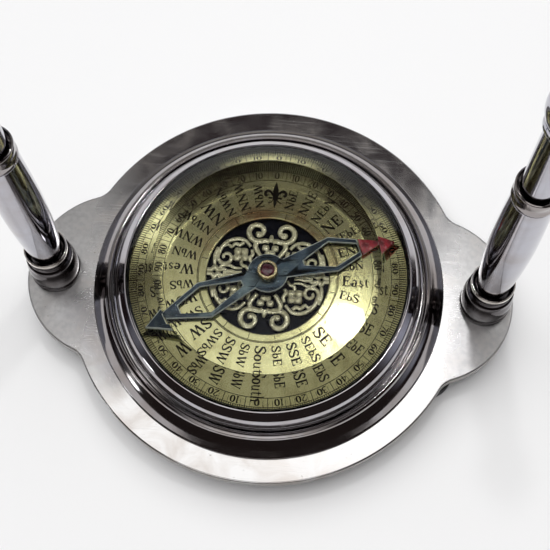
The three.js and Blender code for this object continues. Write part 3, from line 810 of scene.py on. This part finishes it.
def scrollwork():
    """One quarter's strokes and knobs, mirrored into all four, as a single curve piece. A stroke is
    (points, radius at its start, radius at its end) and a knob (x, y, size)."""
    volute = curve_through([(0.4, 9.0), (1.3, 9.3), (2.4, 9.1)])
    volute += spiral(3.5, 11.6, 2.65, 1.0, -90, 275)
    collar = curve_through([(0.4, 9.4), (1.9, 9.3), (3.4, 8.7), (3.8, 7.5), (3.1, 6.2), (2.2, 4.9)])
    scroll = curve_through([(5.0, 7.4), (6.4, 8.9), (8.4, 9.3), (10.6, 8.5), (12.2, 6.7), (12.9, 4.6)])
    scroll += spiral(10.9, 4.1, 2.1, 0.5, 8, -395)
    tendril = curve_through([(13.5, 2.0), (13.6, 4.3), (13.0, 6.6)])
    frond = curve_through([(11.6, 7.0), (10.6, 7.5), (9.8, 7.0), (8.8, 7.9), (7.7, 7.7), (6.8, 8.4)])
    stem = curve_through([(7.0, 3.4), (6.7, 2.3), (5.6, 1.9), (5.0, 1.0)])
    inner = curve_through([(4.6, 6.6), (4.3, 5.3), (4.9, 4.2), (4.4, 3.2)])
    beam = curve_through([(15.2, 0.5), (14.0, 0.6), (13.3, 1.4), (12.6, 0.5), (11.2, 0.9), (10.0, 0.3)])
    horn = curve_through([(12.4, 0.9), (11.3, 1.9), (9.9, 2.0), (8.3, 1.4), (6.6, 1.5)])
    tongue = curve_through([(11.2, 0.2), (9.6, 0.5), (8.0, 0.25), (6.6, 0.5)])
    strokes = [(volute, 0.8, 0.7), (collar, 0.62, 0.72), (scroll, 0.6, 0.5), (tendril, 0.5, 0.55),
               (frond, 0.3, 0.68), (stem, 0.5, 0.45), (inner, 0.5, 0.6), (beam, 0.7, 0.5),
               (horn, 0.55, 0.35), (tongue, 0.6, 0.35)]
    knobs = [(6.2, 4.3, 1.45), (8.1, 4.2, 1.45), (6.4, 5.9, 1.45), (8.0, 5.9, 1.45), (1.2, 7.3, 1.3),
             (0.5, 6.0, 1.2), (3.3, 10.9, 1.1)]
    data = bpy.data.curves.new("scrollwork", "CURVE")
    data.dimensions = "3D"
    data.bevel_depth = MM
    data.bevel_resolution = 3
    data.use_fill_caps = True

    def lay(points, start, end):
        spline = data.splines.new("POLY")
        spline.points.add(len(points) - 1)
        for k, ((x, y), point) in enumerate(zip(points, spline.points)):
            t = k / (len(points) - 1)
            swell = 0.75 + 0.25 * math.sin(math.pi * t)
            point.co = (x * MM, y * MM, 0, 1)
            point.radius = (start + (end - start) * t) * swell

    for mx, my in ((1, 1), (-1, 1), (-1, -1), (1, -1)):
        for points, start, end in strokes:
            lay([(mx * x, my * y) for x, y in points], start, end)
        for x, y, size in knobs:
            ys = [y + size * 1.2 * (k / 6 - 0.5) for k in range(7)]
            lay([(mx * x, my * y) for y in ys], size * 0.75, size * 0.75)
    for my in (1, -1):
        lay([(0, my * y) for y in (8.9, 9.6, 10.3, 10.9)], 0.8, 0.45)
    piece = bpy.data.objects.new("scrollwork", data)
    scene.collection.objects.link(piece)
    data.materials.append(fret_brass)
    flattened, sunk = 0.38, 0.5
    piece.scale = (1, 1, flattened)
    piece.location = (0, 0, (DIAL_TOP - sunk) * MM)
    bpy.context.view_layer.update()
    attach(piece, "stand")
    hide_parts("rosette_fret")


scrollwork()
rim = [(15.3, 2.9), (17.2, 2.9), (17.2, 4.0, 0.15), (15.5, 4.0, 0.2), (15.3, 3.8, 0.1)]
turned("rosette_rim", rim, dial_brass, at=on_plate, closed=True, segments=160)


def rim_divisions():
    """Sixteen short lines across the rosette's rim."""
    flat = Flat()
    for k in range(16):
        flat.tick((k + 0.5) * 360 / 16, 15.55, 17.15, 0.14)
    print_on_dial("rim_divisions", flat)


rim_divisions()

# ---- needle ----
# the blade's eased edges get the pale painted highlight
keep("needle_blade", needle_steel, 0.24, needle_painted_edge_highlight)
keep("needle_red_tip", needle_red, 0.1)
cap = [
    (0, 6.8), (1.2, 6.8), (1.2, 5.9), (2.6, 5.9, 0.15), (2.6, 7.6, 0.3), (2.38, 8.0, 0.12),
    (1.8, 8.0, 0.1), (1.8, 7.2), (0, 7.2),
]
turned("cap", cap, cap_brass, body="needle", at=on_plate, segments=72, corner=0.05,
       replaced=["needle_cap"])
cabochon = [(0, 7.5), (1.7, 7.5, 0.05), (1.7, 7.65, 0.3), (1.35, 7.9, 0.5), (0.7, 7.99, 0.5), (0, 8.0)]
turned("cabochon", cabochon, jewel_red, body="needle", at=on_plate, segments=48,
       replaced=["needle_jewel"])

# ---- columns ----
column_profiles = {
    "ferrule": [
        (1.9, 0.3), (6.3, 0.3, 0.2), (6.35, 1.0, 0.3), (6.1, 1.4, 0.15), (6.3, 3.5, 9), (6.15, 6.4, 9),
        (5.7, 8.6, 0.6), (5.75, 9.6, 0.25), (5.1, 10.2, 0.2), (4.95, 11.2, 0.6), (5.35, 13, 0.8),
        (5.35, 14.0, 0.2), (5.1, 14.2, 0.1), (4.9, 14.1, 0.1), (4.6, 13, 0.6), (4.35, 11.6, 0.2),
        (1.9, 11.6),
    ],
    "lower_shaft": [
        (1.9, 11.9), (3.6, 11.9, 0.3), (3.95, 12.6, 0.6), (4.15, 15, 9), (4.6, 22, 9), (5, 30, 9),
        (5.2, 39, 9), (5.05, 49, 9), (4.75, 59, 9), (4.7, 62.3, 0.25), (1.9, 62.3),
    ],
    "mid_ring": [
        (1.9, 62.6), (4.75, 62.6, 0.2), (4.95, 63.2, 0.4), (4.75, 63.9, 0.3), (4.65, 64.6, 0.4),
        (4.9, 66.4, 0.5), (4.9, 67.4, 0.2), (4.5, 67.6, 0.1), (4.2, 66.4, 0.5), (4.15, 64.8, 0.1),
        (1.9, 64.8),
    ],
    "upper_shaft": [
        (1.9, 65.1), (3.7, 65.1, 0.2), (3.85, 66, 0.5), (3.85, 78, 5), (3.8, 90.2, 0.2), (1.9, 90.2),
    ],
    "upper_ring": [
        (1.9, 90.5), (4.2, 90.5, 0.2), (4.55, 91.1, 0.5), (4.55, 92.3, 0.5), (4.2, 92.9, 0.2),
        (1.9, 92.9),
    ],
    "finial": [
        (1.9, 93.2), (4.3, 93.2, 0.3), (4.9, 94.6, 9), (5.35, 97.2, 9), (5.2, 100, 9), (4.3, 102.8, 9),
        (2.9, 105, 9), (2.1, 106.4, 9), (2.5, 107.4, 9), (3, 109, 9), (2.6, 110.9, 9), (1.5, 112.2, 9),
        (0, 112.7), (0, 101), (1.9, 101),
    ],
}
# ferrules and middle rings get darker copies of the chrome as painted shade, the ferrules with a painted
# highlight band at the rim
column_metals = {"ferrule": ferrule_painted_dark_and_highlight, "mid_ring": ring_chrome_painted_dark}
for side, sign in (("left", -1), ("right", 1)):
    for piece, profile in column_profiles.items():
        turned(f"{side}_{piece}_turned", profile, column_metals.get(piece, column_chrome),
               at=(sign * COLUMN_X, 0, PLATE_TOP), closed=True, segments=72, corner=0.12,
               replaced=[f"{side}_{piece}"])

# ---- stage: pale floor, soft light, camera ----
FLOOR_REACH = 2.0  # metres from the middle to each side
floor_mesh = bpy.data.meshes.new("floor")
floor_corners = [(x * FLOOR_REACH, y * FLOOR_REACH, 0) for x, y in ((-1, -1), (1, -1), (1, 1), (-1, 1))]
floor_mesh.from_pydata(floor_corners, [], [(0, 1, 2, 3)])
floor = bpy.data.objects.new("floor", floor_mesh)
scene.collection.objects.link(floor)
paper = Paint("floor_paper", (0.86, 0.86, 0.86), 0.0, 0.9)
paper.set("Base Color", paper.mix(paper.noise(60), (0.85, 0.85, 0.855), (0.87, 0.87, 0.87)))
floor_mesh.materials.append(paper.material)


def studio_sky():
    """A dark brown room seen only in reflections, with a bright soft ceiling just north of overhead, a
    dim wall lamp beyond it, a skylight to the south and cool low windows on all sides but the south. The
    camera itself sees a plain pale backdrop."""
    world = bpy.data.worlds.new("studio")
    scene.world = world
    world.use_nodes = True
    sky = Wiring(world.node_tree)
    east, north, up = sky.split(sky.node("ShaderNodeTexCoord").outputs["Generated"])
    ceiling = sky.product(sky.fade(north, 0.22, 0.43), sky.ease(north, 0.04, 0.15),
                          sky.ease(east, -0.56, -0.4), sky.fade(east, 0.45, 0.62), sky.ease(up, 0.5, 0.75))
    wall_lamp = sky.product(sky.ease(up, 0.45, 0.55), sky.fade(up, 0.73, 0.81), sky.ease(north, 0.0, 0.3))
    skylight = sky.product(sky.fade(north, -0.25, -0.15), sky.ease(north, -0.6, -0.5),
                           sky.ease(east, -0.4, -0.3), sky.fade(east, 0.2, 0.3), sky.ease(up, 0.6, 0.7))
    windows = sky.product(sky.ease(up, 0.1, 0.18), sky.fade(up, 0.34, 0.44), sky.ease(north, -0.45, 0.0))
    south = sky.fade(north, -0.34, -0.12)
    room = sky.mix(south, (0.014, 0.008, 0.009), (0.026, 0.020, 0.019))
    for bright, color in ((skylight, (1.3, 1.29, 1.28)), (windows, (0.46, 0.49, 0.58)),
                          (wall_lamp, (0.34, 0.33, 0.31)), (ceiling, (1.24, 1.23, 1.21))):
        room = sky.mix(bright, room, color)
    seen_directly = sky.node("ShaderNodeLightPath").outputs["Is Camera Ray"]
    shown = sky.mix(seen_directly, room, (0.87, 0.87, 0.87))
    sky.feed(sky.tree.nodes["Background"].inputs["Color"], shown)


studio_sky()


def soften(lamp_data):
    """Rounds a lamp's corners and fades its edges, so that its reflection isn't a hard rectangle."""
    lamp_data.use_nodes = True
    wiring = Wiring(lamp_data.node_tree)
    across, along, _ = wiring.split(wiring.node("ShaderNodeNewGeometry").outputs["Parametric"])
    total = 0.0
    for place in (across, along):
        from_middle = wiring.math("ABSOLUTE", wiring.math("SUBTRACT", place, 0.5))
        total = wiring.math("ADD", wiring.math("POWER", wiring.product(from_middle, 2.0), 3.0), total)
    strength = wiring.fade(total, 0.75, 1.0)
    wiring.feed(wiring.tree.nodes["Emission"].inputs["Strength"], strength)


def softbox(name, at, size, power, color=(1, 1, 1), towards=(0, 0, 10)):
    """A soft rectangular lamp; places and sizes in millimetres, power in watts."""
    data = bpy.data.lights.new(name, "AREA")
    data.shape = "RECTANGLE"
    data.size, data.size_y = size[0] * MM, size[1] * MM
    data.energy = power
    data.color = color
    soften(data)
    lamp = bpy.data.objects.new(name, data)
    scene.collection.objects.link(lamp)
    lamp.location = Vector(at) * MM
    aim = Vector(towards) * MM - lamp.location
    lamp.rotation_euler = aim.to_track_quat("-Z", "Y").to_euler()


softbox("north_window", at=(30, 146, 493), size=(27, 24), power=0.3, towards=(20, -13, 23))
softbox("left_window", at=(-430, -230, 60), size=(70, 50), power=0.07, color=(0.92, 0.96, 1.0))

fill_data = bpy.data.lights.new("fill", "SUN")
fill_data.energy = 2.5
fill_data.angle = math.radians(80)
fill = bpy.data.objects.new("fill", fill_data)
scene.collection.objects.link(fill)
fill.rotation_euler = Vector((0.2, -0.35, -1)).to_track_quat("-Z", "Y").to_euler()
fill.visible_glossy = False
fill.visible_transmission = False

# The camera's lens, place and turn were fitted to the photo by way of the plate's and bezel's circles.
EYE = (14.44, -95.67, PLATE_TOP + 258.9)
YAW, PITCH, ROLL = -7.254, 66.636, -2.342  # degrees: east of north, below the horizon, about the view
camera_data = bpy.data.cameras.new("camera")
camera_data.sensor_width = 36
camera_data.lens = 71.2
camera_data.shift_y = -0.0818
camera_data.clip_start = 0.01
camera = bpy.data.objects.new("camera", camera_data)
scene.collection.objects.link(camera)
yaw, pitch, roll = math.radians(YAW), math.radians(PITCH), math.radians(ROLL)
forward = Vector((math.sin(yaw) * math.cos(pitch), math.cos(yaw) * math.cos(pitch), -math.sin(pitch)))
level = Vector((math.cos(yaw), -math.sin(yaw), 0))
upright = level.cross(forward)
across = level * math.cos(roll) + upright * math.sin(roll)
above = upright * math.cos(roll) - level * math.sin(roll)
axes = Matrix((across, above, -forward)).transposed().to_4x4()
camera.matrix_world = Matrix.Translation(Vector(EYE) * MM) @ axes
scene.camera = camera

scene.view_settings.view_transform = "Standard"
